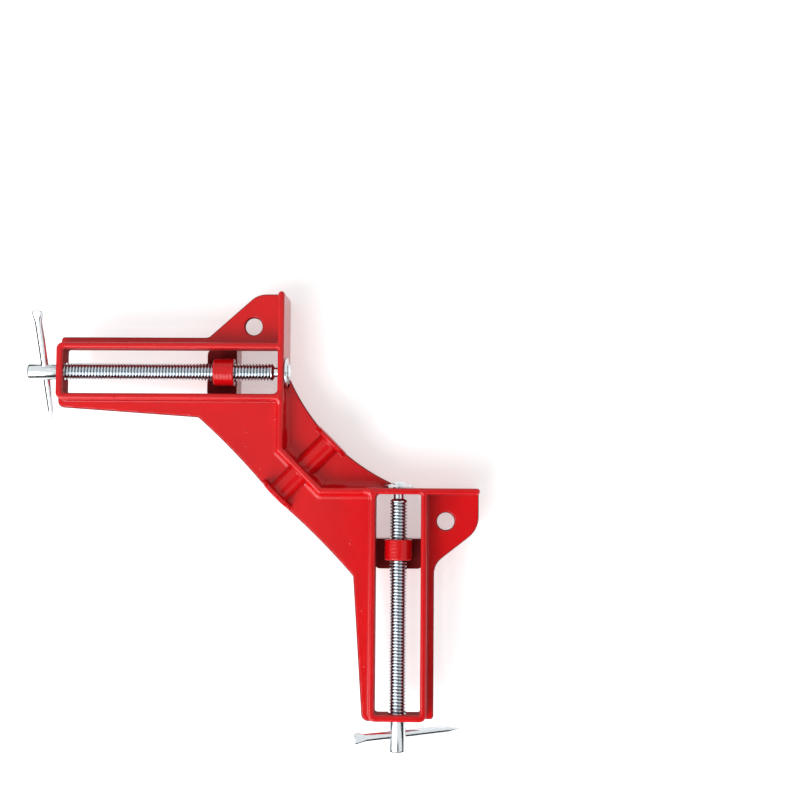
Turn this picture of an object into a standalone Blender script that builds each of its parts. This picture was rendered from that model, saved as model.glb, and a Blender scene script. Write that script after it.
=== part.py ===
"""Corner clamp: a one-piece casting that holds two strips of wood at a right angle.

Two arms leave the corner, one to the left (-X) and one to the front (-Y). Each arm carries a screw
that turns in the casting, and the screw drives a jaw that runs along the arm's window and presses
the work against the fence. Z is up, and the clamp rests on the lower edges of its fences and jaws.

Plan positions are measured from the corner of the work, the point where the two clamping faces
would meet. Sizes are metres.
"""

import math

import bmesh
import bpy
from mathutils import Matrix, Vector

MM = 0.001

# Fences: the two upright walls that the work is pressed against, and the relief between them
FENCE_WALL = 2.8 * MM
RIM_HEIGHT = 28.7 * MM         # resting edge to the rim of the fences and ribs
CORNER_RELIEF = 18.9 * MM      # leg of the 45 degree wall between the two fences
FENCE_FILLET = 3.0 * MM        # where the fences stand on the plate
TOE_RADIUS = 5.0 * MM          # lower corner of a fence's free end

# Plate: the flat web that ties the arms, the fences and the flanges together
PLATE_TOP = 19.6 * MM
PLATE_WALL = 3.0 * MM
DIAGONAL_OFFSET = 1.9 * MM     # outer edge of the corner web, measured outwards from the corner
DIAGONAL_HOLLOW = 0.7 * MM     # how far that edge dips between the boss and the arms
BAY_RADIUS = 94.0 * MM         # inner edge of the corner web
BAY_DEPTH = 33.7 * MM          # corner of the work to the middle of that edge
BENCH_HOLE = 7.8 * MM          # hole for the screw that holds the clamp to a bench
BENCH_HOLE_INSET = 11.9 * MM   # clamping face to the hole's centre
BENCH_HOLE_OFFSET = 8.2 * MM   # rib to the hole's centre
PLATE_SETBACK = 0.3 * MM       # the flange stops this much short of the fence's end

# Arms
SCREW_LINE = 54.2 * MM         # clamping face of the other arm to this arm's screw
SCREW_HEIGHT = 21.9 * MM
ARM_LENGTH = 99.3 * MM         # clamping face to the outer face of the end wall
WINDOW_WIDTH = 20.0 * MM
RIB_WALL = 2.8 * MM
END_WALL = 3.0 * MM
END_CORNER_RADIUS = 3.0 * MM
LEDGE = 3.1 * MM               # plate that shows beyond a rib
WEB_LEDGE = 7.4 * MM           # the same on the corner side, where the arm meets the corner web
WEB_START = 36.6 * MM          # clamping face to the point where the corner web begins
WEB_END = 1.1 * MM             # how far that ledge stands out beyond the end wall
WEB_END_RADIUS = 3.0 * MM

# Flanges: the plate's two corners beside the fences, with the front one squarer than the left one
FLANGE_WIDTH = 23.2 * MM       # rib to the fence's free end
LEFT_FLANGE_START = 32.4 * MM  # clamping face to the root, where the flange leaves the arm
LEFT_ROOT_RADIUS = 3.0 * MM
LEFT_FLANGE_SIDE = 10.2 * MM   # clamping face to the corner beside the fence's free end
LEFT_CORNER_RADIUS = 10.0 * MM
FRONT_FLANGE_START = 31.0 * MM
FRONT_ROOT_RADIUS = 9.0 * MM
FRONT_FLANGE_SIDE = 15.5 * MM
FRONT_CORNER_RADIUS = 11.5 * MM

# Diagonal boss: the half-round rib across the corner, with a half-round flange at each end
BOSS_RADIUS = 4.9 * MM
LIP_RADIUS = 8.5 * MM
LIP_WALL = 2.2 * MM
LIP_SETBACK = 0.2 * MM         # plate's edge to the flange's face

# Screws: left-hand thread, rolled on a plain bar
THREAD_DIAMETER = 7.94 * MM
HEAD_DIAMETER = 7.6 * MM
HEAD_LENGTH = 13.5 * MM        # plain end that stands out of the end wall
HEAD_CHAMFER = 0.9 * MM
RUN_OUT = 1.1 * MM             # cone in which the thread dies out towards the neck
BAR_INSET = 8.6 * MM           # end of the head to the bar's hole
NECK_DIAMETER = 4.8 * MM
NECK_SHOULDER = 2.8 * MM       # clamping face to the end of the thread
PEEN_DIAMETER = 7.5 * MM
PEEN_LENGTH = 1.3 * MM
WASHER_DIAMETER = 13.4 * MM
WASHER_WALL = 1.1 * MM
WASHER_EDGE = 0.25 * MM        # rounding left by the punch

# Sliding handle bars
BAR_DIAMETER = 3.4 * MM
BAR_LENGTH = 54.5 * MM
PADDLE_WIDTH = 4.7 * MM        # the ends are hammered flat, so that the bar can't drop out
PADDLE_WALL = 1.4 * MM
PADDLE_LENGTH = 2.0 * MM
PADDLE_TAPER = 4.0 * MM
PADDLE_ROUNDING = 0.4 * MM     # how much the rounded tip loses all round
LEFT_BAR_TILT = math.radians(31.5)
LEFT_BAR_SHIFT = 2.8 * MM      # middle of the bar to the screw, along the bar
FRONT_BAR_TILT = math.radians(34.5)
FRONT_BAR_SHIFT = -5.1 * MM

# Jaws
JAW_OPENING = 19.9 * MM        # clamping face of the fence to the jaw, as it stands
JAW_WIDTH = 46.0 * MM
JAW_WALL = 4.0 * MM
JAW_TOE_RADIUS = 3.0 * MM
SLIDE_LENGTH = 13.4 * MM
SLIDE_WIDTH = 21.6 * MM
SLIDE_WALL = 3.2 * MM
SLIDE_RADIUS = 2.4 * MM
NUT_DIAMETER = 12.2 * MM
NUT_LENGTH = 9.2 * MM
GUSSET_WALL = 2.4 * MM
GUSSET_SPACING = 14.0 * MM

# Clearances
GAP = 0.3 * MM                 # between pieces that touch or run on each other
BORE_GAP = 0.4 * MM            # between a screw or bar and the wall of its hole

# Faceting of round shapes
TURNED_SIDES = 32
BAR_SIDES = 20
BEND_STEP = math.radians(15)
ARCH_STEPS = 14

# What follows from the sizes above
PLATE_BOTTOM = PLATE_TOP - PLATE_WALL
PLATE_MIDDLE = PLATE_TOP - PLATE_WALL / 2
PLATE_INTO_FENCE = 0.7 * FENCE_WALL
WINDOW_INTO_FENCE = 0.3 * FENCE_WALL
HALF_WINDOW = WINDOW_WIDTH / 2
RIB_OUTSIDE = HALF_WINDOW + RIB_WALL
FENCE_REACH = SCREW_LINE + RIB_OUTSIDE + FLANGE_WIDTH
SCREW_REACH = ARM_LENGTH + GAP + HEAD_LENGTH
BOX_CENTRE = (FENCE_REACH - SCREW_REACH) / 2
BAR_PLACE = BAR_INSET - SCREW_REACH
SQUARE = math.radians(90)
DIAGONAL = SQUARE / 2
LEAN = math.tan(DIAGONAL / 2)  # mitre of the 135 degree bends in the fence
PEEN_START = FENCE_WALL + WASHER_WALL + 2 * GAP


def clear_scene():
    """Remove every object, so that the script gives the same model wherever it runs."""
    for item in list(bpy.data.objects):
        bpy.data.objects.remove(item, do_unlink=True)


def collection(name, parent=None):
    """Make a collection in the scene, or inside another one."""
    group = bpy.data.collections.new(name)
    (parent or bpy.context.scene.collection).children.link(group)
    return group


def material(name, colour, roughness, metallic):
    """Make a Principled material from a linear colour."""
    made = bpy.data.materials.new(name)
    made.use_nodes = True
    shader = made.node_tree.nodes["Principled BSDF"]
    shader.inputs["Base Color"].default_value = (*colour, 1.0)
    shader.inputs["Roughness"].default_value = roughness
    shader.inputs["Metallic"].default_value = metallic
    return made


def empty(name, group, parent=None, place=(0, 0, 0), turn=0.0):
    """Make an empty that carries other objects, turned about Z."""
    made = bpy.data.objects.new(name, None)
    group.objects.link(made)
    made.parent = parent
    made.location = place
    made.rotation_euler = (0, 0, turn)
    return made


def mesh_object(name, mesh, group, parent, place=(0, 0, 0), turn=(0, 0, 0)):
    """Put a mesh in the scene under its parent."""
    made = bpy.data.objects.new(name, mesh)
    group.objects.link(made)
    made.parent = parent
    made.location = place
    made.rotation_euler = turn
    return made


def finish_mesh(name, bm):
    """Turn a bmesh into a mesh with its faces pointing out."""
    bmesh.ops.recalc_face_normals(bm, faces=bm.faces)
    mesh = bpy.data.meshes.new(name)
    bm.to_mesh(mesh)
    bm.free()
    return mesh


def rounded(corners):
    """Round an outline's corners: each corner is (x, y, radius), and radius 0 stays sharp."""
    outline = []
    for index, (x, y, radius) in enumerate(corners):
        here = Vector((x, y))
        if not radius:
            outline.append(here)
            continue
        before = (Vector(corners[index - 1][:2]) - here).normalized()
        after = (Vector(corners[(index + 1) % len(corners)][:2]) - here).normalized()
        opening = before.angle(after)
        middle = here + (before + after).normalized() * (radius / math.sin(opening / 2))
        start = here + before * (radius / math.tan(opening / 2)) - middle
        sweep = start.angle_signed(here + after * (radius / math.tan(opening / 2)) - middle)
        count = max(2, round(abs(sweep) / BEND_STEP))
        for turn in range(count + 1):
            outline.append(middle + Matrix.Rotation(-sweep * turn / count, 2) @ start)
    return outline


def arc(centre, radius, first, last, count):
    """List the points of an arc between two angles."""
    points = []
    for index in range(count + 1):
        angle = first + (last - first) * index / count
        points.append(Vector((centre[0] + radius * math.cos(angle), centre[1] + radius * math.sin(angle))))
    return points


def hollow(start, end, depth, count=6):
    """List the points of an edge that dips towards the left of its way by a small depth."""
    along = end - start
    inward = Vector((-along.y, along.x)).normalized()
    points = []
    for index in range(1, count):
        share = index / count
        points.append(start + along * share + inward * depth * 4 * share * (1 - share))
    return points


def outline_mesh(name, loops, thickness):
    """Extrude a flat outline, with any holes in it, from z = 0 up to its thickness."""
    curve = bpy.data.curves.new(name, "CURVE")
    curve.dimensions = "2D"
    curve.fill_mode = "BOTH"
    curve.extrude = thickness / 2
    for loop in loops:
        spline = curve.splines.new("POLY")
        spline.points.add(len(loop) - 1)
        for point, (x, y) in zip(spline.points, loop):
            point.co = (x, y, 0, 1)
        spline.use_cyclic_u = True
    holder = bpy.data.objects.new(name, curve)
    bpy.context.scene.collection.objects.link(holder)
    evaluated = holder.evaluated_get(bpy.context.evaluated_depsgraph_get())
    mesh = bpy.data.meshes.new_from_object(evaluated)
    bpy.data.objects.remove(holder, do_unlink=True)
    bpy.data.curves.remove(curve)
    bm = bmesh.new()
    bm.from_mesh(mesh)
    bpy.data.meshes.remove(mesh)
    bmesh.ops.remove_doubles(bm, verts=bm.verts, dist=0.001 * MM)
    bmesh.ops.translate(bm, verts=bm.verts, vec=(0, 0, thickness / 2))
    return finish_mesh(name, bm)


def swept_mesh(name, path, profile):
    """Sweep a closed profile of (outwards, up) points along a path in plan, mitred at its bends."""
    bm = bmesh.new()
    rings = []
    for index, here in enumerate(path):
        before = (here - path[index - 1]).normalized() if index else None
        after = (path[index + 1] - here).normalized() if index + 1 < len(path) else None
        ahead = ((before or after) + (after or before)).normalized()
        across = Vector((-ahead.y, ahead.x))
        stretch = 1 / across.dot(Vector((-(after or before).y, (after or before).x)))
        rings.append([bm.verts.new((*(here + across * out * stretch), up)) for out, up in profile])
    for first, second in zip(rings, rings[1:]):
        for index in range(len(profile)):
            last = index - 1
            bm.faces.new((first[last], first[index], second[index], second[last]))
    bm.faces.new(rings[0])
    bm.faces.new(reversed(rings[-1]))
    return finish_mesh(name, bm)


def hole_mesh(name, diameter, length):
    """Make the cutter of a round hole along Z, whose flats clear the diameter."""
    bm = bmesh.new()
    sides = TURNED_SIDES
    radius = diameter / 2 / math.cos(math.pi / sides)
    bmesh.ops.create_cone(bm, cap_ends=True, segments=sides, radius1=radius, radius2=radius, depth=length)
    return finish_mesh(name, bm)


def combine(target, operation, group):
    """Join or cut with all of a collection at once, which stays in the scene as wire."""
    for operand in group.objects:
        operand.hide_render = True
        operand.display_type = "WIRE"
    step = target.modifiers.new(operation.title(), "BOOLEAN")
    step.operation = operation
    step.operand_type = "COLLECTION"
    step.collection = group


def on_left(x, y, radius=0):
    """Turn arm coordinates into plan coordinates on the left arm."""
    return (x, SCREW_LINE + y, radius)


def on_front(x, y, radius=0):
    """Turn arm coordinates into plan coordinates on the front arm, the left arm's mirror image."""
    return (SCREW_LINE + y, x, radius)


def arm_outline(plan, flange):
    """List the plate's corners round one arm in plan, from the fence's free end to the web."""
    root, root_radius, side, corner_radius = flange
    reach = RIB_OUTSIDE + FLANGE_WIDTH - PLATE_SETBACK
    edge = RIB_OUTSIDE + LEDGE
    return [
        plan(PLATE_INTO_FENCE, reach),
        plan(-side, reach, corner_radius),
        plan(-root, edge, root_radius),
        plan(-ARM_LENGTH, edge, END_CORNER_RADIUS / 2),
        plan(-ARM_LENGTH, -RIB_OUTSIDE),
        plan(-ARM_LENGTH - WEB_END, -RIB_OUTSIDE),
        plan(-ARM_LENGTH - WEB_END, -edge, WEB_END_RADIUS),
        plan(-WEB_START, -RIB_OUTSIDE - WEB_LEDGE),
    ]


def plate_outline():
    """Outline the whole plate, from the left fence's free end round to the front one's and back."""
    left_flange = (LEFT_FLANGE_START, LEFT_ROOT_RADIUS, LEFT_FLANGE_SIDE, LEFT_CORNER_RADIUS)
    front_flange = (FRONT_FLANGE_START, FRONT_ROOT_RADIUS, FRONT_FLANGE_SIDE, FRONT_CORNER_RADIUS)
    left = arm_outline(on_left, left_flange)
    front = arm_outline(on_front, front_flange)[::-1]

    along = Vector((1, -1)).normalized()
    middle = -Vector((1, 1)).normalized() * DIAGONAL_OFFSET
    lip_left = middle - along * LIP_RADIUS
    lip_front = middle + along * LIP_RADIUS
    web = hollow(Vector(left[-1][:2]), lip_left, DIAGONAL_HOLLOW)
    web += [lip_left, lip_front]
    web += hollow(lip_front, Vector(front[0][:2]), DIAGONAL_HOLLOW)

    inside = PLATE_INTO_FENCE
    centre = (BAY_DEPTH + BAY_RADIUS) * math.sin(DIAGONAL)
    spread = math.acos((centre - inside) / BAY_RADIUS)
    bay = arc((centre, centre), BAY_RADIUS, math.radians(270) - spread, math.radians(180) + spread, 24)

    corners = left + [(x, y, 0) for x, y in web] + front + [(x, y, 0) for x, y in bay]
    return rounded(corners)


def bench_hole(place):
    """Outline one bench screw's hole."""
    ring = arc(place, BENCH_HOLE / 2, 0, math.tau, TURNED_SIDES)
    return ring[:-1]


def plate_mesh():
    """Make the plate, with its two windows and the two holes for bench screws."""
    loops = [plate_outline()]
    for plan in (on_left, on_front):
        half = HALF_WINDOW + RIB_WALL / 2
        near, far = WINDOW_INTO_FENCE, -ARM_LENGTH + END_WALL / 2
        window = ((near, half), (far, half), (far, -half), (near, -half))
        loops.append([plan(x, y)[:2] for x, y in window])
        loops.append(bench_hole(plan(-BENCH_HOLE_INSET, RIB_OUTSIDE + BENCH_HOLE_OFFSET)))
    return outline_mesh("plate", loops, PLATE_WALL)


def rib_loop(plan):
    """Outline one arm's two ribs and the end wall between them, as one U."""
    near, far = PLATE_INTO_FENCE, -ARM_LENGTH
    corners = [
        plan(near, RIB_OUTSIDE),
        plan(far, RIB_OUTSIDE, END_CORNER_RADIUS),
        plan(far, -RIB_OUTSIDE, END_CORNER_RADIUS),
        plan(near, -RIB_OUTSIDE),
        plan(near, -HALF_WINDOW),
        plan(far + END_WALL, -HALF_WINDOW),
        plan(far + END_WALL, HALF_WINDOW),
        plan(near, HALF_WINDOW),
    ]
    return rounded(corners)


def fence_path(offset):
    """Trace the fences in plan, from the left one's free end to the front one's, at an offset."""
    bend = CORNER_RELIEF + offset * LEAN
    return [
        Vector((offset, FENCE_REACH)),
        Vector((offset, bend)),
        Vector((bend, offset)),
        Vector((FENCE_REACH, offset)),
    ]


def fillet_profile(side):
    """Section of a root fillet: out from the wall on one side, and up from the plate."""
    sunk = FENCE_WALL / 4
    curve = arc((FENCE_FILLET, FENCE_FILLET), FENCE_FILLET, math.radians(270), math.radians(180), 5)
    points = [Vector((FENCE_FILLET, -sunk)), *curve, Vector((-sunk, FENCE_FILLET)), Vector((-sunk, -sunk))]
    return [(side * x, PLATE_TOP + y) for x, y in points]


def fillet_path(offset, start):
    """Trace the root of the fences between the two arms, from one start to the other."""
    path = fence_path(offset)
    path[0] = Vector((offset, start))
    path[-1] = Vector((start, offset))
    return path


def turned_mesh(name, profile, ring=False, start=0.0):
    """Keep a profile of (radius, height) points as edges at a start angle, for a Screw modifier."""
    mesh = bpy.data.meshes.new(name)
    verts = [(radius * math.cos(start), radius * math.sin(start), height) for radius, height in profile]
    edges = [(index, index + 1) for index in range(len(verts) - 1)]
    if ring:
        edges.append((len(verts) - 1, 0))
    mesh.from_pydata(verts, edges, [])
    return mesh


def add_turning(item):
    """Turn an object's profile about its own Z axis."""
    step = item.modifiers.new("Turn", "SCREW")
    step.axis = "Z"
    step.steps = TURNED_SIDES
    step.render_steps = TURNED_SIDES
    step.use_merge_vertices = True
    step.merge_threshold = 0.00001
    step.use_smooth_shade = True


def build_casting(corner, parts, cutters, paint):
    """Make the body: plate, fences, ribs and diagonal boss as one casting."""
    body = mesh_object("clamp_body", plate_mesh(), parts, corner, (0, 0, PLATE_BOTTOM))
    body.data.materials.append(paint)

    joined = collection("clamp_body_joined", cutters)
    for name, plan in (("left_ribs", on_left), ("front_ribs", on_front)):
        mesh = outline_mesh(name, [rib_loop(plan)], RIM_HEIGHT - PLATE_BOTTOM)
        mesh_object(name, mesh, joined, corner, (0, 0, PLATE_BOTTOM))

    wall = [(0, 0), (FENCE_WALL, 0), (FENCE_WALL, RIM_HEIGHT), (0, RIM_HEIGHT)]
    fillet_starts = {
        "outer_fillet": (0, -1, SCREW_LINE - HALF_WINDOW - RIB_WALL / 2),
        "inner_fillet": (FENCE_WALL, 1, SCREW_LINE - WASHER_DIAMETER / 2 - GAP),
    }
    mesh_object("fences", swept_mesh("fences", fence_path(0), wall), joined, corner)
    for name, (offset, side, start) in fillet_starts.items():
        mesh = swept_mesh(name, fillet_path(offset, start), fillet_profile(side))
        mesh_object(name, mesh, joined, corner)
    diagonal_boss(corner, joined)
    combine(body, "UNION", joined)

    cuts = collection("clamp_body_cuts", cutters)
    for side, plan, turn in (("left", on_left, 0), ("front", on_front, SQUARE)):
        screw_holes(side, plan, turn, corner, cuts)
        fence_toe(side, corner, cuts)
    combine(body, "DIFFERENCE", cuts)


def diagonal_boss(corner, group):
    """Make the half-round rib across the corner, with the half-round flange at each of its ends."""
    outer_face = LIP_SETBACK - DIAGONAL_OFFSET
    inner_face = BAY_DEPTH - LIP_SETBACK
    rounds = (
        ("boss", BOSS_RADIUS, outer_face + LIP_WALL / 2, inner_face - LIP_WALL / 2),
        ("outer_lip", LIP_RADIUS, outer_face, outer_face + LIP_WALL),
        ("inner_lip", LIP_RADIUS, inner_face - LIP_WALL, inner_face),
    )
    root = -PLATE_WALL / 2
    along = Matrix.Rotation(DIAGONAL, 4, "Z") @ Matrix.Rotation(SQUARE, 4, "Y")
    along = along @ Matrix.Rotation(SQUARE, 4, "Z")
    for name, radius, start, end in rounds:
        arch = [(radius, root), *arc((0, 0), radius, 0, math.pi, ARCH_STEPS), (-radius, root)]
        mesh = outline_mesh(name, [arch], end - start)
        mesh.transform(Matrix.Translation((0, 0, PLATE_TOP)) @ along @ Matrix.Translation((0, 0, start)))
        mesh_object(name, mesh, group, corner)


def screw_holes(side, plan, turn, corner, group):
    """Cut one arm's holes for the screw, and the seats of its washer and peened end."""
    end_hole = max(THREAD_DIAMETER, HEAD_DIAMETER) + 2 * BORE_GAP
    holes = (
        ("end_hole", end_hole, -ARM_LENGTH - END_WALL, -ARM_LENGTH + 2 * END_WALL),
        ("neck_hole", NECK_DIAMETER + 2 * BORE_GAP, -FENCE_WALL, 2 * FENCE_WALL),
        ("washer_seat", WASHER_DIAMETER + 2 * GAP, FENCE_WALL, FENCE_WALL + WASHER_WALL + 2 * GAP),
        ("peen_seat", PEEN_DIAMETER + 4 * GAP, FENCE_WALL + WASHER_WALL, PEEN_START + 2 * PEEN_LENGTH),
    )
    for name, diameter, start, end in holes:
        x, y, _ = plan((start + end) / 2, 0)
        mesh = hole_mesh(name, diameter, end - start)
        mesh_object(f"{side}_{name}", mesh, group, corner, (x, y, SCREW_HEIGHT), (0, SQUARE, turn))


def fence_toe(side, corner, group):
    """Round the lower corner of one fence's free end."""
    radius = TOE_RADIUS
    toe = [(radius, radius), *arc((0, radius), radius, 0, -SQUARE, 6)]
    toe += [(0, -radius), (2 * radius, -radius), (2 * radius, radius)]
    mesh = outline_mesh(side + "_toe", [toe], 3 * FENCE_WALL)
    reach = FENCE_REACH - radius
    if side == "left":
        mesh_object("left_toe", mesh, group, corner, (-FENCE_WALL, reach, 0), (SQUARE, 0, SQUARE))
    else:
        mesh_object("front_toe", mesh, group, corner, (reach, 2 * FENCE_WALL, 0), (SQUARE, 0, 0))


def screw_profile():
    """List the screw's outline from its domed, peened end inside the fence to its plain head."""
    head = HEAD_DIAMETER / 2
    thread = THREAD_DIAMETER / 2
    neck = NECK_DIAMETER / 2
    peen = PEEN_DIAMETER / 2
    thread_start = -ARM_LENGTH - GAP
    dome = [(peen * y, PEEN_START + PEEN_LENGTH * x) for x, y in arc((0, 0), 1, 0, SQUARE, 5)]
    return dome + [
        (neck, PEEN_START),
        (neck, -NECK_SHOULDER),
        (thread, -NECK_SHOULDER - RUN_OUT),
        (thread, thread_start + abs(thread - head)),
        (head, thread_start),
        (head, -SCREW_REACH + HEAD_CHAMFER),
        (head - HEAD_CHAMFER, -SCREW_REACH),
        (0, -SCREW_REACH),
    ]


def build_screw(side, arm, parts, cutters, steel, tilt):
    """Make one screw, lying along the arm, with the cross hole for its handle bar."""
    name = side + "_screw"
    facet_middle = tilt + math.pi / TURNED_SIDES
    mesh = turned_mesh(name, screw_profile(), start=facet_middle)
    screw = mesh_object(name, mesh, parts, arm, turn=(0, SQUARE, 0))
    screw.data.materials.append(steel)
    add_turning(screw)

    cuts = collection(name + "_cuts", cutters)
    mesh = hole_mesh("bar_hole", BAR_DIAMETER + 2 * BORE_GAP, 2 * HEAD_DIAMETER)
    mesh_object(side + "_bar_hole", mesh, cuts, arm, (BAR_PLACE, 0, 0), (tilt - SQUARE, 0, 0))
    combine(screw, "DIFFERENCE", cuts)


def build_washer(side, arm, parts, steel):
    """Make the washer under one screw's peened end, inside the fence."""
    name = side + "_washer"
    inner = NECK_DIAMETER / 2 + BORE_GAP
    outer = WASHER_DIAMETER / 2
    low = FENCE_WALL + GAP
    high = low + WASHER_WALL
    ring = [
        (inner, high),
        (outer - WASHER_EDGE, high),
        (outer, high - WASHER_EDGE),
        (outer, low),
        (inner, low),
    ]
    washer = mesh_object(name, turned_mesh(name, ring, ring=True), parts, arm, turn=(0, SQUARE, 0))
    washer.data.materials.append(steel)
    add_turning(washer)


def build_bar(side, arm, parts, steel, tilt, shift):
    """Make one sliding handle bar: round stock whose ends are flattened a quarter turn apart."""
    half = BAR_LENGTH / 2
    stock = BAR_DIAMETER / 2
    wide = PADDLE_WIDTH / 2
    thin = PADDLE_WALL / 2
    tip = PADDLE_ROUNDING
    paddle = [
        (half, wide - tip, thin - tip),
        (half - tip, wide, thin),
        (half - PADDLE_LENGTH, wide, thin),
        (half - PADDLE_LENGTH - PADDLE_TAPER, stock, stock),
    ]
    stations = [(-place, deep, across) for place, across, deep in paddle]
    stations += [(place, across, deep) for place, across, deep in reversed(paddle)]

    bm = bmesh.new()
    rings = []
    for place, across, deep in stations:
        ring = []
        for index in range(BAR_SIDES):
            angle = math.tau * index / BAR_SIDES
            ring.append(bm.verts.new((across * math.cos(angle), deep * math.sin(angle), place + shift)))
        rings.append(ring)
    for first, second in zip(rings, rings[1:]):
        for index in range(BAR_SIDES):
            bm.faces.new((first[index - 1], first[index], second[index], second[index - 1]))
    bm.faces.new(rings[0])
    bm.faces.new(rings[-1])

    name = side + "_handle_bar"
    bar = mesh_object(name, finish_mesh(name, bm), parts, arm, (BAR_PLACE, 0, 0), (tilt - SQUARE, 0, 0))
    bar.data.materials.append(steel)
    bar.data.shade_smooth()


def build_jaw(side, arm, parts, cutters, paint):
    """Make one jaw: face plate, slide under the window, gussets and the nut on the screw."""
    slide_top = PLATE_BOTTOM - GAP - SCREW_HEIGHT
    floor = -SCREW_HEIGHT
    half = JAW_WIDTH / 2
    face = rounded([
        (-half, floor, JAW_TOE_RADIUS),
        (half, floor, JAW_TOE_RADIUS),
        (half, slide_top, 0),
        (-half, slide_top, 0),
    ])
    across = (SQUARE, 0, SQUARE)
    name = side + "_jaw"
    place = (-JAW_OPENING - JAW_WALL, 0, 0)
    jaw = mesh_object(name, outline_mesh(name, [face], JAW_WALL), parts, arm, place, across)
    jaw.data.materials.append(paint)

    joined = collection(name + "_joined", cutters)
    sunk = JAW_WALL / 2
    slide = rounded([
        (-sunk, -SLIDE_WIDTH / 2, 0),
        (-sunk, SLIDE_WIDTH / 2, 0),
        (-SLIDE_LENGTH, SLIDE_WIDTH / 2, SLIDE_RADIUS),
        (-SLIDE_LENGTH, -SLIDE_WIDTH / 2, SLIDE_RADIUS),
    ])
    mesh = outline_mesh(side + "_slide", [slide], SLIDE_WALL)
    mesh_object(side + "_slide", mesh, joined, arm, (-JAW_OPENING, 0, slide_top - SLIDE_WALL))

    nut = NUT_DIAMETER / 2
    root = slide_top - SLIDE_WALL / 2
    arch = [(nut, root), *arc((0, 0), nut, 0, math.pi, ARCH_STEPS), (-nut, root)]
    mesh = outline_mesh(side + "_nut", [arch], NUT_LENGTH)
    mesh_object(side + "_nut", mesh, joined, arm, (-JAW_OPENING - NUT_LENGTH, 0, 0), across)

    drop = PLATE_BOTTOM - GAP - JAW_TOE_RADIUS
    root = -SLIDE_WALL / 2
    brace = [(-sunk, root), (-SLIDE_LENGTH + SLIDE_RADIUS, root), (-sunk, -drop)]
    for gusset, y in (("near_gusset", -GUSSET_SPACING / 2), ("far_gusset", GUSSET_SPACING / 2)):
        mesh = outline_mesh(f"{side}_{gusset}", [brace], GUSSET_WALL)
        place = (-JAW_OPENING, y + GUSSET_WALL / 2, slide_top)
        mesh_object(f"{side}_{gusset}", mesh, joined, arm, place, (SQUARE, 0, 0))
    combine(jaw, "UNION", joined)

    cuts = collection(name + "_cuts", cutters)
    mesh = hole_mesh("nut_bore", THREAD_DIAMETER + 2 * BORE_GAP, 3 * NUT_LENGTH)
    mesh_object(side + "_nut_bore", mesh, cuts, arm, (-JAW_OPENING - NUT_LENGTH / 2, 0, 0), (0, SQUARE, 0))
    combine(jaw, "DIFFERENCE", cuts)


def main():
    """Build the clamp in its photographed state, with both jaws about 20 mm open."""
    clear_scene()
    parts = collection("corner_clamp")
    cutters = collection("corner_clamp_cutters")
    paint = material("red_enamel", (0.62, 0.018, 0.024), 0.25, 0.0)
    steel = material("zinc_plated_steel", (0.62, 0.64, 0.66), 0.28, 1.0)

    corner = empty("corner_of_work", parts, place=(-BOX_CENTRE, -BOX_CENTRE, 0))
    left = empty("left_arm", parts, corner, (0, SCREW_LINE, SCREW_HEIGHT))
    front = empty("front_arm", parts, corner, (SCREW_LINE, 0, SCREW_HEIGHT), math.radians(90))

    build_casting(corner, parts, cutters, paint)
    arms = (
        ("left", left, LEFT_BAR_TILT, LEFT_BAR_SHIFT),
        ("front", front, FRONT_BAR_TILT, FRONT_BAR_SHIFT),
    )
    for side, arm, tilt, shift in arms:
        build_screw(side, arm, parts, cutters, steel, tilt)
        build_washer(side, arm, parts, steel)
        build_bar(side, arm, parts, steel, tilt, shift)
        build_jaw(side, arm, parts, cutters, paint)


main()
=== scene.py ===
"""Looks of a corner clamp: a red enamelled body and jaws, and plated screws, washers and handle bars.

Every size here is in millimetres and is turned to metres where a mesh is made. Plan positions are
measured from the corner of the work, where the two clamping faces would meet. The castings are
described by distance fields, which give them their rounded edges and root fillets, and are then
meshed on a grid whose lines lie close together where the shape turns.
"""

import logging
import math
from dataclasses import dataclass, field
from enum import Enum
from functools import partial
from typing import Callable, Iterable, Sequence

import bpy
import numpy as np
from bpy.types import ID, Material, Mesh, Node, Object
from bpy.types import NodeSocket as Socket
from bpy.types import NodeTree as Tree
from mathutils import Matrix, Vector


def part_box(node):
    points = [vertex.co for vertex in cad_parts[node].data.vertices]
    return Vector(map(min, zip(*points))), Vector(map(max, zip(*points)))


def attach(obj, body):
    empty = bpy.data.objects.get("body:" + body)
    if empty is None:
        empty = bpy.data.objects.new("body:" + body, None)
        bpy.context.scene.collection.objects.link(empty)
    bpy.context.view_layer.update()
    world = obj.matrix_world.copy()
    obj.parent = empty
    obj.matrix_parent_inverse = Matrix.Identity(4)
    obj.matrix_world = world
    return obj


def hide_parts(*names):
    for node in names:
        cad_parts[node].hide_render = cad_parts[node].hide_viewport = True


MM = 0.001

log = logging.getLogger("corner_clamp")
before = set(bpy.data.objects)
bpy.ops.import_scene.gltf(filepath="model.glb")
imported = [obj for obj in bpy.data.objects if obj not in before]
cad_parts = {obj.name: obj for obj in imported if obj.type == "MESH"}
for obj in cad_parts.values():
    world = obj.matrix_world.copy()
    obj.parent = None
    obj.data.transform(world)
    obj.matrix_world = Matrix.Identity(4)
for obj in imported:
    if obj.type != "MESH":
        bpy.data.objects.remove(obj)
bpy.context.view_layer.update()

Array = np.ndarray
Distance = Callable[[Array, Array, Array], Array]
Span = tuple[float, float]
QUARTER = math.radians(90)
ARC_STEP = 7.5  # degrees between the points of a rounded corner
FINE = 0.35  # spacing of a grid's lines where a wall or a root is


class Side(Enum):
    """The clamp's two arms: the left one runs along -X and the front one along -Y."""

    LEFT = "left"
    FRONT = "front"


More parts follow.
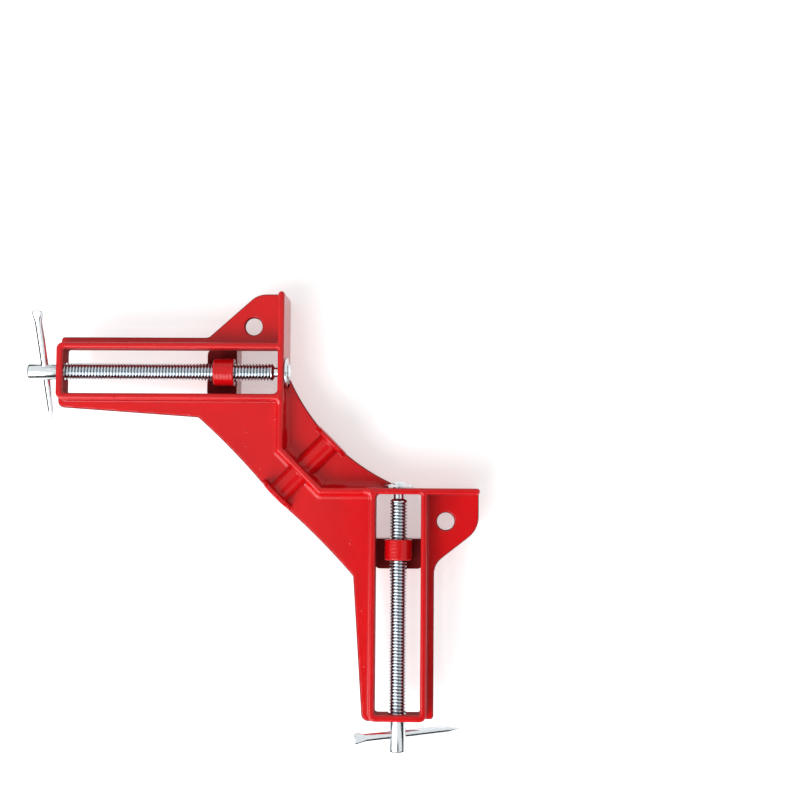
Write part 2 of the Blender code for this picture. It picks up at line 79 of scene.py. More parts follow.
@dataclass(frozen=True)
class Layout:
    """Sizes that the casting, the jaws and the screws share."""

    fence_wall: float = 2.8
    fence_reach: float = 90.2
    rim_height: float = 28.7
    plate_top: float = 19.6
    plate_wall: float = 3.0
    screw_line: float = 54.2
    screw_height: float = 21.9
    arm_length: float = 99.3
    half_window: float = 10.0
    rib_wall: float = 2.8
    gap: float = 0.3
    bore_gap: float = 0.4
    thread_diameter: float = 7.94
    neck_diameter: float = 4.8
    head_diameter: float = 7.6
    head_length: float = 13.5
    bar_inset: float = 7.6
    peen_diameter: float = 7.5
    peen_length: float = 1.3
    washer_diameter: float = 13.4
    washer_wall: float = 1.1

    @property
    def plate_bottom(self) -> float:
        """Height of the plate's underside."""
        return self.plate_top - self.plate_wall

    @property
    def rib_outside(self) -> float:
        """Screw line to the outer face of a rib."""
        return self.half_window + self.rib_wall

    @property
    def head_face(self) -> float:
        """Place along an arm of the face that a screw's head turns to the end wall."""
        return -self.arm_length - self.gap

    @property
    def corner(self) -> Vector:
        """Corner of the work in metres, read from the casting's box."""
        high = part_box("clamp_body")[1]
        reach = self.fence_reach * MM
        return Vector((high.x - reach, high.y - reach, 0.0))

    def arm(self, side: Side) -> Matrix:
        """Give the matrix from an arm's own millimetres to metres in the frame.

        Args:
            side: The arm. Its X runs from the handle to the fence, and its Y to its left.

        Returns:
            A matrix whose origin is on the screw's axis, at the clamping face.
        """
        line = self.screw_line
        if side is Side.LEFT:
            place, turn = Vector((0.0, line, self.screw_height)), 0.0
        else:
            place, turn = Vector((line, 0.0, self.screw_height)), QUARTER
        move = Matrix.Translation(self.corner + place * MM)
        return move @ Matrix.Rotation(turn, 4, "Z") @ Matrix.Scale(MM, 4)

    def plan(self) -> Matrix:
        """Give the matrix from plan millimetres at the corner of the work to metres in the frame."""
        return Matrix.Translation(self.corner) @ Matrix.Scale(MM, 4)

    def bar_place(self, turn: float) -> Matrix:
        """Give the matrix to a handle bar's hole, turned about the screw's axis by some radians."""
        along = self.head_face - self.head_length + self.bar_inset
        return Matrix.Translation((along, 0, 0)) @ Matrix.Rotation(turn, 4, "X")


LAYOUT = Layout()


def linear(colour: str) -> tuple[float, float, float, float]:
    """Turn an sRGB hex colour such as #c8141c to linear RGBA."""
    channels = [int(colour[i:i + 2], 16) / 255 for i in (1, 3, 5)]
    turned = [c / 12.92 if c <= 0.04045 else ((c + 0.055) / 1.055) ** 2.4 for c in channels]
    return (*turned, 1.0)


def add_node(tree: Tree, kind: str, links: dict | None = None, **settings) -> Node:
    """Add a node to a tree.

    Args:
        tree: The tree that takes the node.
        kind: The node's type name.
        links: For each input, by name or number, a socket to link or a value to set.
        **settings: Properties of the node.

    Returns:
        The new node.
    """
    made = tree.nodes.new(kind)
    for name, value in settings.items():
        setattr(made, name, value)
    for name, value in (links or {}).items():
        if isinstance(value, Socket):
            tree.links.new(value, made.inputs[name])
        else:
            made.inputs[name].default_value = value
    return made


def attribute(tree: Tree, name: str) -> Socket:
    """Read an attribute that a mesh's points carry."""
    return add_node(tree, "ShaderNodeAttribute", attribute_name=name).outputs["Fac"]


def noise(tree: Tree, place: Socket, size_mm: float, detail: float) -> Socket:
    """Give noise whose features have a size in millimetres."""
    return add_node(tree, "ShaderNodeTexNoise", {
        "Vector": place, "Scale": 1 / (size_mm * MM), "Detail": detail,
    }).outputs["Fac"]


def total(tree: Tree, operation: str, *values: Socket | float) -> Socket:
    """Do a sum on numbers or sockets."""
    return add_node(tree, "ShaderNodeMath", dict(enumerate(values)), operation=operation).outputs[0]


def ramp(tree: Tree, value: Socket, start: float, end: float, low: float = 0.0,
         high: Socket | float = 1.0, **settings) -> Socket:
    """Map a value from low at start to high at end, and hold it there."""
    return add_node(tree, "ShaderNodeMapRange", {
        "Value": value, "From Min": start, "From Max": end, "To Min": low, "To Max": high,
    }, **settings).outputs[0]


def mix(tree: Tree, factor: Socket, first: Socket | str, second: str) -> Socket:
    """Mix a colour, which may be a socket, with a second one. Colours are sRGB hex strings."""
    start = linear(first) if isinstance(first, str) else first
    return add_node(tree, "ShaderNodeMix", {
        "Factor": factor, "A": start, "B": linear(second),
    }, data_type="RGBA").outputs[2]


def surface(tree: Tree, kind: str, links: dict) -> None:
    """Add a shader and link it to the tree's output."""
    shader = add_node(tree, kind, links)
    add_node(tree, "ShaderNodeOutputMaterial", {"Surface": shader.outputs[0]})


def empty_material(name: str) -> tuple[Material, Tree]:
    """Make a material whose tree is empty."""
    made = bpy.data.materials.new(name)
    made.use_nodes = True
    made.node_tree.nodes.clear()
    return made, made.node_tree


def add_object(name: str, data: ID) -> Object:
    """Make an object of some data and put it in the scene."""
    made = bpy.data.objects.new(name, data)
    bpy.context.scene.collection.objects.link(made)
    return made


def plain_mesh(piece: Object) -> Mesh:
    """Make a mesh of an object as its modifiers leave it."""
    ready = piece.evaluated_get(bpy.context.evaluated_depsgraph_get())
    return bpy.data.meshes.new_from_object(ready)


def polygon_distance(x: Array, y: Array, corners: Array) -> Array:
    """Measure the distance in plan to a closed outline, negative inside it."""
    x, y = np.broadcast_arrays(x, y)
    nearest = np.full(x.shape, np.inf)
    inside = np.zeros(x.shape, bool)
    last = corners[-1]
    for here in corners:
        run_x, run_y = here - last
        from_x, from_y = x - last[0], y - last[1]
        share = np.clip((from_x * run_x + from_y * run_y) / (run_x**2 + run_y**2), 0, 1)
        nearest = np.minimum(nearest, (from_x - share * run_x) ** 2 + (from_y - share * run_y) ** 2)
        if run_y:
            crossed = (last[1] > y) != (here[1] > y)
            inside ^= crossed & (from_x < run_x * from_y / run_y)
        last = here
    return np.where(inside, -1, 1) * np.sqrt(nearest)


def path_distance(x: Array, y: Array, points: Sequence[Span]) -> Array:
    """Measure the distance in plan to an open path."""
    nearest = np.inf
    for (x0, y0), (x1, y1) in zip(points, points[1:]):
        run_x, run_y = x1 - x0, y1 - y0
        share = np.clip(((x - x0) * run_x + (y - y0) * run_y) / (run_x**2 + run_y**2), 0, 1)
        nearest = np.minimum(nearest, np.hypot(x - x0 - share * run_x, y - y0 - share * run_y))
    return nearest


def both(a: Array, b: Array, edge: float) -> Array:
    """Keep what lies in two fields, with a rounded edge."""
    a, b = a + edge, b + edge
    return np.minimum(np.maximum(a, b), 0) + np.hypot(np.maximum(a, 0), np.maximum(b, 0)) - edge


def slab(across: Array, along: Array, low: float, high: float, edge: float) -> Array:
    """Give a flat outline a thickness from low to high, with rounded edges."""
    return both(across, np.abs(along - (low + high) / 2) - (high - low) / 2, edge)


def joined(a: Array, b: Array, fillet: Array | float) -> Array:
    """Join two fields, with a round fillet where their surfaces meet."""
    apart = np.hypot(np.maximum(fillet - a, 0), np.maximum(fillet - b, 0))
    return np.maximum(fillet, np.minimum(a, b)) - apart


def cut(a: Array, b: Array, edge: float) -> Array:
    """Cut field b out of field a, with a rounded edge."""
    apart = np.hypot(np.maximum(edge + a, 0), np.maximum(edge - b, 0))
    return np.minimum(-edge, np.maximum(a, -b)) + apart


def fade(value: Array, start: float, end: float) -> Array:
    """Rise smoothly from 0 at start to 1 at end."""
    share = np.clip((value - start) / (end - start), 0, 1)
    return share * share * (3 - 2 * share)


def rounded(corners: Iterable[tuple[float, ...]]) -> Array:
    """Round an outline's corners.

    Args:
        corners: Each corner as (x, y) or (x, y, radius), in order.

    Returns:
        The outline's points, with an arc at each corner that has a radius.
    """
    corners = [(*corner, 0.0)[:3] for corner in corners]
    outline = []
    for index, (x, y, radius) in enumerate(corners):
        here = Vector((x, y))
        if not radius:
            outline.append(here)
            continue
        before = (Vector(corners[index - 1][:2]) - here).normalized()
        after = (Vector(corners[(index + 1) % len(corners)][:2]) - here).normalized()
        opening = before.angle(after)
        middle = here + (before + after).normalized() * (radius / math.sin(opening / 2))
        start = here + before * (radius / math.tan(opening / 2)) - middle
        sweep = start.angle_signed(here + after * (radius / math.tan(opening / 2)) - middle)
        count = max(2, round(math.degrees(abs(sweep)) / ARC_STEP))
        for turn in range(count + 1):
            outline.append(middle + Matrix.Rotation(-sweep * turn / count, 2) @ start)
    return np.array([tuple(point) for point in outline])


def grid_lines(spans: Sequence[Span]) -> Array:
    """List a grid's lines along one axis.

    Args:
        spans: Each span's end and the spacing inside it; the first one only gives the start.

    Returns:
        The lines' places, from the first span's end to the last one's.
    """
    lines = [spans[0][0]]
    for end, step in spans[1:]:
        count = max(1, round((end - lines[-1]) / step))
        lines.extend(np.linspace(lines[-1], end, count + 1)[1:])
    return np.array(lines)


class CastSurface:
    """A casting's surface: the zero level of its distance field, as a mesh."""

    NUDGE = 0.02
    LONGEST_STEP = 0.5
    LEAST_SLOPE = 0.5
    BEND_REACH = 0.5

    def __init__(self, distance: Distance, lines: Sequence[Array]) -> None:
        """Mesh a field on a grid.

        Args:
            distance: The field, negative inside the casting.
            lines: The grid's lines along X, Y and Z.
        """
        self.distance = distance
        self.lines = lines
        x, y, z = np.meshgrid(*lines, indexing="ij", sparse=True)
        values = np.broadcast_to(distance(x, y, z), tuple(len(line) for line in lines))
        self.points, self.faces = self._net(values)
        for _ in range(3):
            self._settle()
        self.normals = self._slope()
        self.normals /= np.maximum(np.linalg.norm(self.normals, axis=1, keepdims=True), 1e-9)

    def _net(self, values: Array) -> tuple[Array, Array]:
        """Put a point in each cell that the surface crosses, and a face across each crossed edge."""
        cells = tuple(n - 1 for n in values.shape)
        sums = np.zeros((3, math.prod(cells)))
        count = np.zeros(math.prod(cells))
        inside = values < 0
        crossings = []
        for axis in range(3):
            low = inside.take(range(values.shape[axis] - 1), axis)
            high = inside.take(range(1, values.shape[axis]), axis)
            starts = np.argwhere(low != high)
            ends = starts.copy()
            ends[:, axis] += 1
            at_start, at_end = values[tuple(starts.T)], values[tuple(ends.T)]
            places = [self.lines[other][starts[:, other]] for other in range(3)]
            step = self.lines[axis][ends[:, axis]] - places[axis]
            places[axis] = places[axis] + step * at_start / (at_start - at_end)
            first, second = (axis + 1) % 3, (axis + 2) % 3
            corners = []
            for back in ((1, 1), (0, 1), (0, 0), (1, 0)):
                steps = starts.copy()
                steps[:, (first, second)] -= back
                cell = np.ravel_multi_index(steps.T, cells)
                corners.append(cell)
                count += np.bincount(cell, minlength=count.size)
                for other in range(3):
                    sums[other] += np.bincount(cell, places[other], count.size)
            quads = np.stack(corners, axis=1)
            outward = at_start < 0
            crossings.append(np.where(outward[:, None], quads, quads[:, ::-1]))
        used = np.flatnonzero(count)
        numbers = np.zeros(count.size, int)
        numbers[used] = np.arange(used.size)
        return (sums[:, used] / count[used]).T, numbers[np.concatenate(crossings)]

    def _beside(self, axis: int, reach: float) -> tuple[Array, Array]:
        """Measure the field at a distance ahead of each point and behind it."""
        ahead, behind = self.points.copy(), self.points.copy()
        ahead[:, axis] += reach
        behind[:, axis] -= reach
        return self.distance(*ahead.T), self.distance(*behind.T)

    def _slope(self) -> Array:
        """Measure the field's slope at the points."""
        slope = np.empty_like(self.points)
        for axis in range(3):
            ahead, behind = self._beside(axis, self.NUDGE)
            slope[:, axis] = ahead - behind
        return slope / (2 * self.NUDGE)

    def _settle(self) -> None:
        """Move the points along the slope onto the surface."""
        slope = self._slope()
        steep = np.maximum((slope**2).sum(axis=1), self.LEAST_SLOPE**2)
        move = np.clip(self.distance(*self.points.T) / steep, -self.LONGEST_STEP, self.LONGEST_STEP)
        self.points = self.points - slope * move[:, None]

    def bend(self, reach: float) -> Array:
        """Measure how the surface bends: above 0 on an outer edge, below 0 in a root."""
        here = 2 * self.distance(*self.points.T)
        bend = 0
        for axis in range(3):
            ahead, behind = self._beside(axis, reach)
            bend = bend + ahead + behind - here
        return bend / reach

    def make_object(self, name: str, place: Matrix, shaded_skirt: Array | float = 1.0,
                    inside: Array | float = 0.0) -> Object:
        """Make the object.

        Args:
            name: The object's name.
            place: The matrix from the field's millimetres to metres in the frame.
            shaded_skirt: For each point, whether it may take painted shade under the plate's top.
            inside: For each point, how much painted shade it takes on a wall inside a window.

        Returns:
            The object, with its bend, shaded_skirt and inside kept as point attributes.
        """
        mesh = bpy.data.meshes.new(name)
        mesh.from_pydata(self.points.tolist(), [], self.faces.tolist())
        mesh.transform(place)
        mesh.shade_smooth()
        turned = self.normals @ np.array(place.to_3x3().normalized()).T
        mesh.normals_split_custom_set_from_vertices(turned.tolist())
        bend = self.bend(self.BEND_REACH)
        for kept, values in (("bend", bend), ("shaded_skirt", shaded_skirt), ("inside", inside)):
            values = np.broadcast_to(values, len(self.points)).astype(np.float32)
            mesh.attributes.new(kept, "FLOAT", "POINT").data.foreach_set("value", values)
        return add_object(name, mesh)


@dataclass(frozen=True)
class RedEnamel:
    """Thick gloss enamel on a die casting: wet looking, with a slight orange peel and a few blobs."""

    colour: str = "#d80b11"
    # Darker tone: paint that pools, and painted shade in the roots; the random mottle uses it too.
    pooled_and_shaded: str = "#8e0a18"
    # Lighter tone on outer edges: thin paint, and a painted highlight.
    thin: str = "#dc2029"
    # Painted shade: under the plate's top and on the window walls the enamel is darker and rougher.
    low: str = "#78060c"
    low_start: float = 19.57
    low_end: float = 19.4
    low_roughness: float = 0.8
    roughness: float = 0.16
    ior: float = 1.38
    root_span: Span = (-0.15, -1.1)
    root_share: float = 0.75
    edge_span: Span = (0.35, 1.0)
    edge_share: float = 0.55
    mottle_mm: float = 17.0
    mottle_span: Span = (0.35, 0.75)
    mottle_share: float = 0.22
    matt_from: float = 0.6
    peel_mm: float = 2.6
    peel_strength: float = 0.12
    peel_depth: float = 0.3
    blob_mm: float = 6.0
    blob_radius: float = 0.1
    blob_depth: float = 0.25

    def material(self) -> Material:
        """Build the enamel: darker in the roots, where the paint pools and by painted shade, and
        lighter on the edges, where it is thin and by a painted highlight; painted shade also darkens
        the band under the plate's top and the window walls.
        """
        made, tree = empty_material("red_enamel")
        place = add_node(tree, "ShaderNodeTexCoord").outputs["Object"]
        mottle = noise(tree, place, self.mottle_mm, 2.0)
        bend = attribute(tree, "bend")
        # Painted shade: the enamel turns darker in the roots, partly paint that pools, partly shade
        # painted in.
        roots = ramp(tree, bend, *self.root_span, 0.0, self.root_share)
        # Painted highlight: the enamel turns lighter on outer edges, partly thin paint, partly light
        # painted in.
        edges = ramp(tree, bend, *self.edge_span, 0.0, self.edge_share)
        spread = ramp(tree, mottle, *self.mottle_span, 0.0, self.mottle_share)
        colour = mix(tree, spread, self.colour, self.pooled_and_shaded)
        colour = mix(tree, roots, colour, self.pooled_and_shaded)
        colour = mix(tree, edges, colour, self.thin)
        height = add_node(tree, "ShaderNodeSeparateXYZ", {0: place}).outputs[2]
        # Painted shade: the band under the plate's top and the window walls turn darker and rougher.
        shaded_skirt = attribute(tree, "shaded_skirt")
        under = ramp(tree, height, self.low_start * MM, self.low_end * MM, 0.0, shaded_skirt)
        painted_shade = total(tree, "MAXIMUM", under, attribute(tree, "inside"))
        colour = mix(tree, painted_shade, colour, self.low)
        matt = ramp(tree, painted_shade, 0.0, self.matt_from, self.roughness, self.low_roughness)
        skin = add_node(tree, "ShaderNodeBump", {
            "Height": noise(tree, place, self.peel_mm, 1.0),
            "Strength": self.peel_strength, "Distance": self.peel_depth * MM,
        })
        cells = add_node(tree, "ShaderNodeTexVoronoi", {
            "Vector": place, "Scale": 1 / (self.blob_mm * MM),
        })
        away = cells.outputs["Distance"]
        blobs = ramp(tree, away, self.blob_radius, 0.0, interpolation_type="SMOOTHSTEP")
        bump = add_node(tree, "ShaderNodeBump", {
            "Height": blobs, "Strength": 1.0, "Distance": self.blob_depth * MM,
            "Normal": skin.outputs[0],
        })
        surface(tree, "ShaderNodeBsdfPrincipled", {
            "Base Color": colour, "Roughness": matt, "IOR": self.ior, "Normal": bump.outputs[0],
        })
        return made


@dataclass(frozen=True)
class ZincPlate:
    """Bright zinc plating on drawn steel: pale and a little blue.

    Its thread roots are darker, partly from an oily film left in them and partly from painted shade.
    """

    colour: str = "#e8edef"
    cloudy: str = "#d3dbe0"
    # Thread-root tone: an oily film, and painted shade.
    oil_and_shade: str = "#6c7a87"
    roughness: float = 0.18
    cloud_mm: float = 5.0
    oil_and_shade_span: Span = (0.45, 0.95)
    oil_and_shade_share: float = 0.9

    def material(self) -> Material:
        """Build the plating, with the thread's roots darker: an oily film and painted shade."""
        made, tree = empty_material("zinc_plated_steel")
        place = add_node(tree, "ShaderNodeTexCoord").outputs["Object"]
        tone = mix(tree, noise(tree, place, self.cloud_mm, 3.0), self.colour, self.cloudy)
        # Painted shade: the plating turns darker in the thread's roots, partly for an oily film.
        root_oil_and_shade = ramp(tree, attribute(tree, "root"), *self.oil_and_shade_span, 0.0, self.oil_and_shade_share)
        surface(tree, "ShaderNodeBsdfPrincipled", {
            "Base Color": mix(tree, root_oil_and_shade, tone, self.oil_and_shade),
            "Roughness": self.roughness, "Metallic": 1.0,
        })
        return made


@dataclass(frozen=True)
class Flange:
    """One flange's outline from the clamping face: its root on the arm and its outer corner."""

    root: float
    root_radius: float
    side: float
    corner_radius: float


@dataclass
class Casting:
    """The body: plate, ribs, fences and the half-round rib across the corner, cast in one."""

    corner_relief: float = 18.9
    fence_fillet: float = 3.0
    fence_fillet_end: Span = (42.0, 48.0)
    rib_fillet: float = 0.8
    fillet_rise: Span = (1.4, 0.4)
    edge: float = 0.7
    rim_edge: float = 1.15
    hole_edge: float = 0.25
    toe_radius: float = 5.0
    diagonal_offset: float = 1.9
    diagonal_hollow: float = 0.7
    hollow_steps: int = 8
    bay_radius: float = 94.0
    bay_depth: float = 33.7
    bay_points: int = 40
    bench_hole: float = 7.8
    bench_hole_inset: float = 11.9
    bench_hole_offset: float = 8.2
    plate_setback: float = 0.3
    end_wall: float = 3.0
    end_corner_radius: float = 3.0
    window_radius: float = 1.0
    ledge: float = 3.1
    web_ledge: float = 7.4
    web_start: float = 36.6
    web_start_radius: float = 2.0
    web_end: float = 1.1
    web_end_radius: float = 3.0
    flange_width: float = 23.2
    flanges: dict[Side, Flange] = field(default_factory=lambda: {
        Side.LEFT: Flange(32.4, 3.0, 10.2, 10.0),
        Side.FRONT: Flange(31.0, 9.0, 15.5, 11.5),
    })
    boss_radius: float = 4.9
    boss_edge: float = 0.3
    lip_radius: float = 8.5
    lip_wall: float = 2.2
    lip_setback: float = 0.2
    lip_fillet: float = 0.9
    inner_lip_stand: float = 0.8
    # Where the enamel takes painted shade: under the plate's top away from the fences, and on the
    # window walls.
    skirt_stand: Span = (0.1, 0.8)
    skirt_rise: Span = (0.2, 0.8)
    shade_reach: Span = (0.3, 0.1)
    shade_drop: Span = (0.6, 2.0)
    shade_share: float = 0.7

    def __post_init__(self) -> None:
        """Trace the outlines that the field is measured from."""
        self.plate = self._plate_outline()
        self.ribs = [self._rib_outline(side) for side in Side]

    @staticmethod
    def _on_arm(side: Side, x: float, y: float, radius: float = 0.0) -> tuple[float, float, float]:
        """Turn arm coordinates into plan coordinates; the front arm is the left one's mirror image."""
        across = LAYOUT.screw_line + y
        return (x, across, radius) if side is Side.LEFT else (across, x, radius)

    def _arm_outline(self, side: Side) -> list[tuple[float, float, float]]:
        """List the plate's corners round one arm, from the fence's free end to the corner web."""
        edge = LAYOUT.rib_outside + self.ledge
        reach = LAYOUT.rib_outside + self.flange_width - self.plate_setback
        end, inner = -LAYOUT.arm_length, LAYOUT.rib_outside - self.end_corner_radius
        flange = self.flanges[side]
        corners = (
            (LAYOUT.fence_wall / 2, reach, 0.0),
            (-flange.side, reach, flange.corner_radius),
            (-flange.root, edge, flange.root_radius),
            (end, edge, self.end_corner_radius / 2),
            (end, -inner, 0.0),
            (end - self.web_end, -inner, 0.0),
            (end - self.web_end, -edge, self.web_end_radius),
            (-self.web_start, -LAYOUT.rib_outside - self.web_ledge, self.web_start_radius),
        )
        return [self._on_arm(side, *corner) for corner in corners]

    def _plate_outline(self) -> Array:
        """Trace the whole plate, from the left fence's free end round to the front one's and back."""
        left = self._arm_outline(Side.LEFT)
        front = self._arm_outline(Side.FRONT)[::-1]
        along = Vector((1, -1)).normalized()
        middle = -Vector((1, 1)).normalized() * self.diagonal_offset
        lips = [middle - along * self.lip_radius, middle + along * self.lip_radius]
        before = self._hollow(Vector(left[-1][:2]), lips[0])
        after = self._hollow(lips[1], Vector(front[0][:2]))
        web = [tuple(point) for point in (*before, *lips, *after)]
        radius = self.bay_radius
        centre = (self.bay_depth + radius) * math.sin(QUARTER / 2)
        spread = math.acos((centre - LAYOUT.fence_wall / 2) / radius)
        turns = np.linspace(3 * QUARTER - spread, 2 * QUARTER + spread, self.bay_points)
        bay = [(centre + radius * math.cos(turn), centre + radius * math.sin(turn)) for turn in turns]
        return rounded([*left, *web, *front, *bay])

    def _hollow(self, start: Vector, end: Vector) -> list[Vector]:
        """List the points of the web's outer edge, which dips a little between its ends."""
        run = end - start
        inward = Vector((-run.y, run.x)).normalized() * self.diagonal_hollow
        shares = [index / self.hollow_steps for index in range(1, self.hollow_steps)]
        return [start + run * share + inward * 4 * share * (1 - share) for share in shares]

    def _rib_outline(self, side: Side) -> Array:
        """Trace one arm's two ribs and its end wall as one U."""
        near, far = LAYOUT.fence_wall / 2, -LAYOUT.arm_length
        outside, inside = LAYOUT.rib_outside, LAYOUT.half_window
        corners = (
            (near, outside, 0.0),
            (far, outside, self.end_corner_radius),
            (far, -outside, self.end_corner_radius),
            (near, -outside, 0.0),
            (near, -inside, 0.0),
            (far + self.end_wall, -inside, self.window_radius),
            (far + self.end_wall, inside, self.window_radius),
            (near, inside, 0.0),
        )
        return rounded([self._on_arm(side, *corner) for corner in corners])

    def _fences(self, x: Array, y: Array, z: Array) -> Array:
        """Measure the distance to the fences and the relief wall between them."""
        half = LAYOUT.fence_wall / 2
        bend = self.corner_relief + half * math.tan(QUARTER / 4)
        end = LAYOUT.fence_reach - half
        wall = path_distance(x, y, ((half, end), (half, bend), (bend, half), (end, half))) - half
        body = slab(wall, z, 0.0, LAYOUT.rim_height, self.rim_edge)
        radius = self.toe_radius
        start = LAYOUT.fence_reach - radius
        beyond = np.maximum(x, y) - start
        toe = np.hypot(beyond, z - radius) - radius
        return np.where((beyond > 0) & (z < radius), np.maximum(body, toe), body)

    def _diagonal_boss(self, x: Array, y: Array, z: Array) -> Array:
        """Measure the distance to the half-round rib and the half-round flanges at its ends."""
        along = (x + y) * math.sqrt(0.5)
        across = (x - y) * math.sqrt(0.5)
        up = z - LAYOUT.plate_top
        round_up = np.hypot(across, up)
        outer, inner = self.lip_setback - self.diagonal_offset, self.bay_depth + self.inner_lip_stand
        edge = self.boss_edge
        boss = slab(round_up - self.boss_radius, along, outer + edge, inner - edge, edge)
        lip, wall = round_up - self.lip_radius, self.lip_wall
        lips = np.minimum(slab(lip, along, outer, outer + wall, self.edge),
                          slab(lip, along, inner - wall, inner, self.edge))
        return np.maximum(joined(boss, lips, self.lip_fillet), -up - LAYOUT.plate_wall / 2)

    def _screw_holes(self, along: Array, across: Array, z: Array) -> Array:
        """Measure the distance to one arm's holes and to the seats of its washer and peened end."""
        round_axis = np.hypot(across - LAYOUT.screw_line, z - LAYOUT.screw_height)
        wall, gap = LAYOUT.fence_wall, LAYOUT.gap
        far = -LAYOUT.arm_length
        seat = wall + LAYOUT.washer_wall
        room = 2 * LAYOUT.bore_gap
        spans = (
            (LAYOUT.thread_diameter + room, far - self.end_wall, far + 2 * self.end_wall),
            (LAYOUT.neck_diameter + room, -wall, 2 * wall),
            (LAYOUT.washer_diameter + 2 * gap, wall, seat + 2 * gap),
            (LAYOUT.peen_diameter + 4 * gap, seat, seat + 2 * gap + 2 * LAYOUT.peen_length),
        )
        nearest = np.inf
        for diameter, start, end in spans:
            length = np.abs(along - (start + end) / 2) - (end - start) / 2
            nearest = np.minimum(nearest, np.maximum(round_axis - diameter / 2, length))
        return nearest

    def distance(self, x: Array, y: Array, z: Array) -> Array:
        """Measure the distance to the whole casting, negative inside it."""
        low, top, rim = LAYOUT.plate_bottom, LAYOUT.plate_top, LAYOUT.rim_height
        outline = polygon_distance(x, y, self.plate)
        near = LAYOUT.fence_wall / 2
        far = -LAYOUT.arm_length + self.end_wall / 2
        half = LAYOUT.half_window + LAYOUT.rib_wall / 2
        hole_line = LAYOUT.screw_line + LAYOUT.rib_outside + self.bench_hole_offset
        for along, across in ((x, y), (y, x)):
            window = np.maximum(
                np.abs(along - (near + far) / 2) - (near - far) / 2,
                np.abs(across - LAYOUT.screw_line) - half,
            )
            hole = np.hypot(along + self.bench_hole_inset, across - hole_line) - self.bench_hole / 2
            outline = np.maximum(outline, -np.minimum(window, hole))
        body = slab(outline, z, low, top, self.edge)

        above = fade(z, *(top - drop for drop in self.fillet_rise))
        ribs = np.minimum(*(polygon_distance(x, y, rib) for rib in self.ribs))
        body = joined(body, slab(ribs, z, low, rim, self.rim_edge), above * self.rib_fillet)

        thinner = self.rib_fillet - self.fence_fillet
        root = self.fence_fillet + thinner * fade(np.maximum(x, y), *self.fence_fillet_end)
        body = joined(body, self._fences(x, y, z), above * root)
        body = joined(body, self._diagonal_boss(x, y, z), above * self.rib_fillet)
        for along, across in ((x, y), (y, x)):
            body = cut(body, self._screw_holes(along, across, z), self.hole_edge)
        return body

    def lines(self) -> list[Array]:
        """List the grid's lines, close together at the walls and in the corner."""
        wall, end, rib = LAYOUT.fence_wall, LAYOUT.arm_length, LAYOUT.rib_wall
        near_rib = LAYOUT.screw_line - LAYOUT.rib_outside
        far_rib = LAYOUT.screw_line + LAYOUT.half_window
        reach = LAYOUT.fence_reach
        plan = grid_lines((
            (-end - self.web_end - 1, 0), (-end + self.end_wall + 1, 0.4), (-40, 1.3), (-2.5, 0.7),
            (wall + 1.2, FINE), (self.bay_depth + 3, 0.55), (near_rib - 0.6, 0.7),
            (near_rib + rib + 0.6, FINE), (far_rib - 0.6, 0.75), (far_rib + rib + 0.6, FINE),
            (reach - 2, 0.7), (reach + 1, FINE),
        ))
        low, top, rim = LAYOUT.plate_bottom, LAYOUT.plate_top, LAYOUT.rim_height
        height = grid_lines((
            (-1, 0), (1, FINE), (5, 0.6), (low - 0.6, 1.1), (low + 1, FINE), (top - 1, 0.5),
            (top + 1.4, FINE), (top + 3.4, 0.5), (rim - 1.2, 0.7), (rim + 1, FINE),
        ))
        return [plan, plan, height]

    def _window(self, x: Array, y: Array) -> Array:
        """Measure the distance in plan to the nearer window, negative inside it."""
        far = -LAYOUT.arm_length + self.end_wall
        nearest = np.inf
        for along, across in ((x, y), (y, x)):
            end = np.abs(along - far / 2) + far / 2
            rib = np.abs(across - LAYOUT.screw_line) - LAYOUT.half_window
            nearest = np.minimum(nearest, np.maximum(end, rib))
        return nearest

    def build(self, paint: Material) -> Object:
        """Mesh the casting, paint it and let it stand for its node."""
        cast = CastSurface(self.distance, self.lines())
        x, y, z = cast.points.T
        # Weights of painted shade: the band under the plate's top, and the window walls below the
        # rims.
        shaded_skirt = fade(self._fences(x, y, z), *self.skirt_stand)
        shaded_skirt *= fade(z, *(LAYOUT.plate_bottom + rise for rise in self.skirt_rise))
        deep = fade(z, *(LAYOUT.rim_height - drop for drop in self.shade_drop))
        inside = fade(self._window(x, y), *self.shade_reach) * deep * self.shade_share
        made = cast.make_object("enamelled_body", LAYOUT.plan(), shaded_skirt, inside)
        made.data.materials.append(paint)
        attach(made, "frame")
        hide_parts("clamp_body")
        report(made)
        return made


